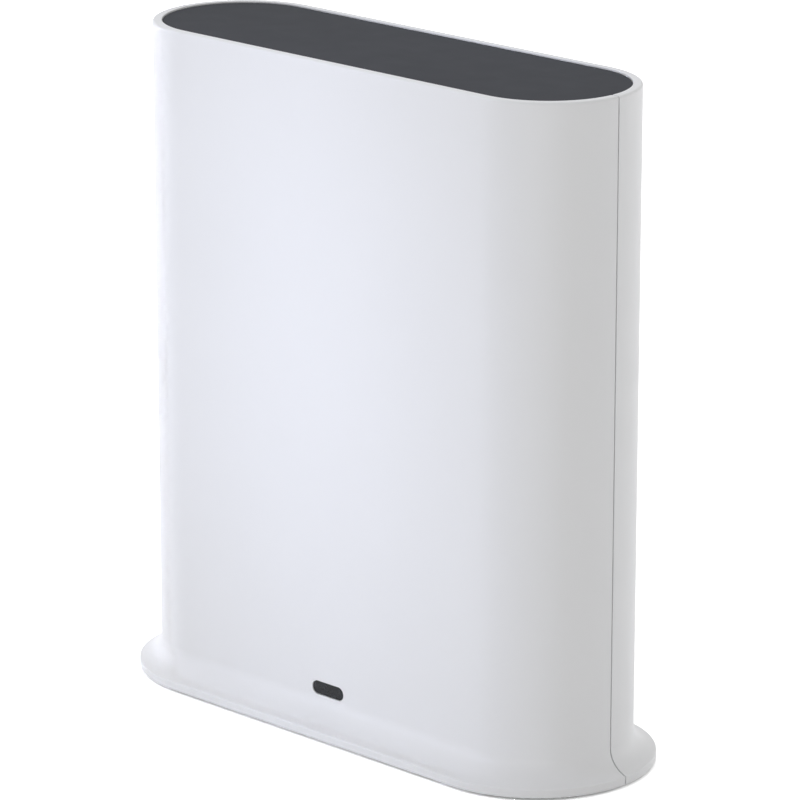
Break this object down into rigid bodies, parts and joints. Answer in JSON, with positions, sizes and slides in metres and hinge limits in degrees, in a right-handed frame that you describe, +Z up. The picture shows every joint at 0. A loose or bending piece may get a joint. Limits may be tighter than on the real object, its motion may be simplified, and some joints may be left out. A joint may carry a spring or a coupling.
{
  "type": "security camera base station",
  "caption": "Upright slim hub with round ends on a flared foot: white two-part casing, dark top panel, status window in front, sockets and a sync button at the rear.",
  "frame": {"origin": "on the table, under the middle of the foot", "axes": "+Z up, the front with the status window faces -Y, +X to the right seen from the front"},
  "size_m": [0.1388, 0.0528, 0.15],
  "materials": {
    "white_casing": "satin white moulded plastic with a fine spark texture",
    "dark_panel": "matt dark grey moulded plastic",
    "base_plastic": "matt pale grey moulded plastic",
    "foot_rubber": "matt black rubber",
    "screw_steel": "zinc plated steel",
    "smoked_window": "smoked glossy plastic",
    "clear_pipe": "clear moulded plastic",
    "light_resin": "pale resin",
    "button_plastic": "satin white moulded plastic",
    "switch_plastic": "matt black plastic",
    "black_plastic": "matt black plastic",
    "board_laminate": "green solder mask over glass laminate",
    "chip_resin": "matt black moulding compound",
    "pad_rubber": "soft grey-blue silicone",
    "sink_aluminium": "extruded aluminium",
    "pin_nylon": "natural nylon",
    "shield_tin": "tinned steel sheet",
    "contact_gold": "gold plated",
    "contact_nickel": "nickel plated",
    "tongue_plastic": "white moulded plastic",
    "coil_ferrite": "dark grey ferrite",
    "can_aluminium": "bright aluminium can",
    "trace_copper": "copper track",
    "lead_sheath": "black coaxial sheath"
  },
  "bodies": {
    "hub": {"front_shell": "white_casing", "rear_shell": "white_casing", "top_panel": "dark_panel", "base_plate": "base_plastic", "rubber_feet": "foot_rubber", "base_screws": "screw_steel", "status_window": "smoked_window", "light_pipe": "clear_pipe", "status_light": "light_resin", "socket_panel": "dark_panel", "sync_switch": "switch_plastic", "reset_switch": "switch_plastic", "main_board": "board_laminate", "board_screws": "screw_steel", "processor": "chip_resin", "thermal_pad": "pad_rubber", "heat_sink": "sink_aluminium", "heat_sink_pins": "pin_nylon", "radio_shield": "shield_tin", "radio_chip": "chip_resin", "memory_chips": "chip_resin", "flash_chip": "chip_resin", "crystal": "shield_tin", "network_socket_shield": "shield_tin", "network_socket_body": "black_plastic", "network_contacts": "contact_gold", "network_coupler": "chip_resin", "storage_socket_shell": "shield_tin", "storage_socket_tongue": "tongue_plastic", "storage_contacts": "contact_gold", "power_socket": "black_plastic", "power_socket_pin": "contact_nickel", "power_coils": "coil_ferrite", "capacitors": "can_aluminium", "left_aerial": "board_laminate", "right_aerial": "board_laminate", "left_aerial_trace": "trace_copper", "right_aerial_trace": "trace_copper", "left_aerial_lead": "lead_sheath", "right_aerial_lead": "lead_sheath", "aerial_sockets": "contact_gold"},
    "sync_key": {"sync_button": "button_plastic", "sync_switch_actuator": "black_plastic"},
    "reset_key": {"reset_plunger": "button_plastic", "reset_switch_actuator": "black_plastic"}
  },
  "joints": [
    {"name": "sync_press", "type": "slide", "parent": "hub", "child": "sync_key", "axis": [0, -1, 0], "range_m": [0, 0.0006], "stiffness_N_per_m": 900, "springref_m": -0.0006},
    {"name": "reset_press", "type": "slide", "parent": "hub", "child": "reset_key", "axis": [0, -1, 0], "range_m": [0, 0.0005], "stiffness_N_per_m": 900, "springref_m": -0.0005}
  ]
}
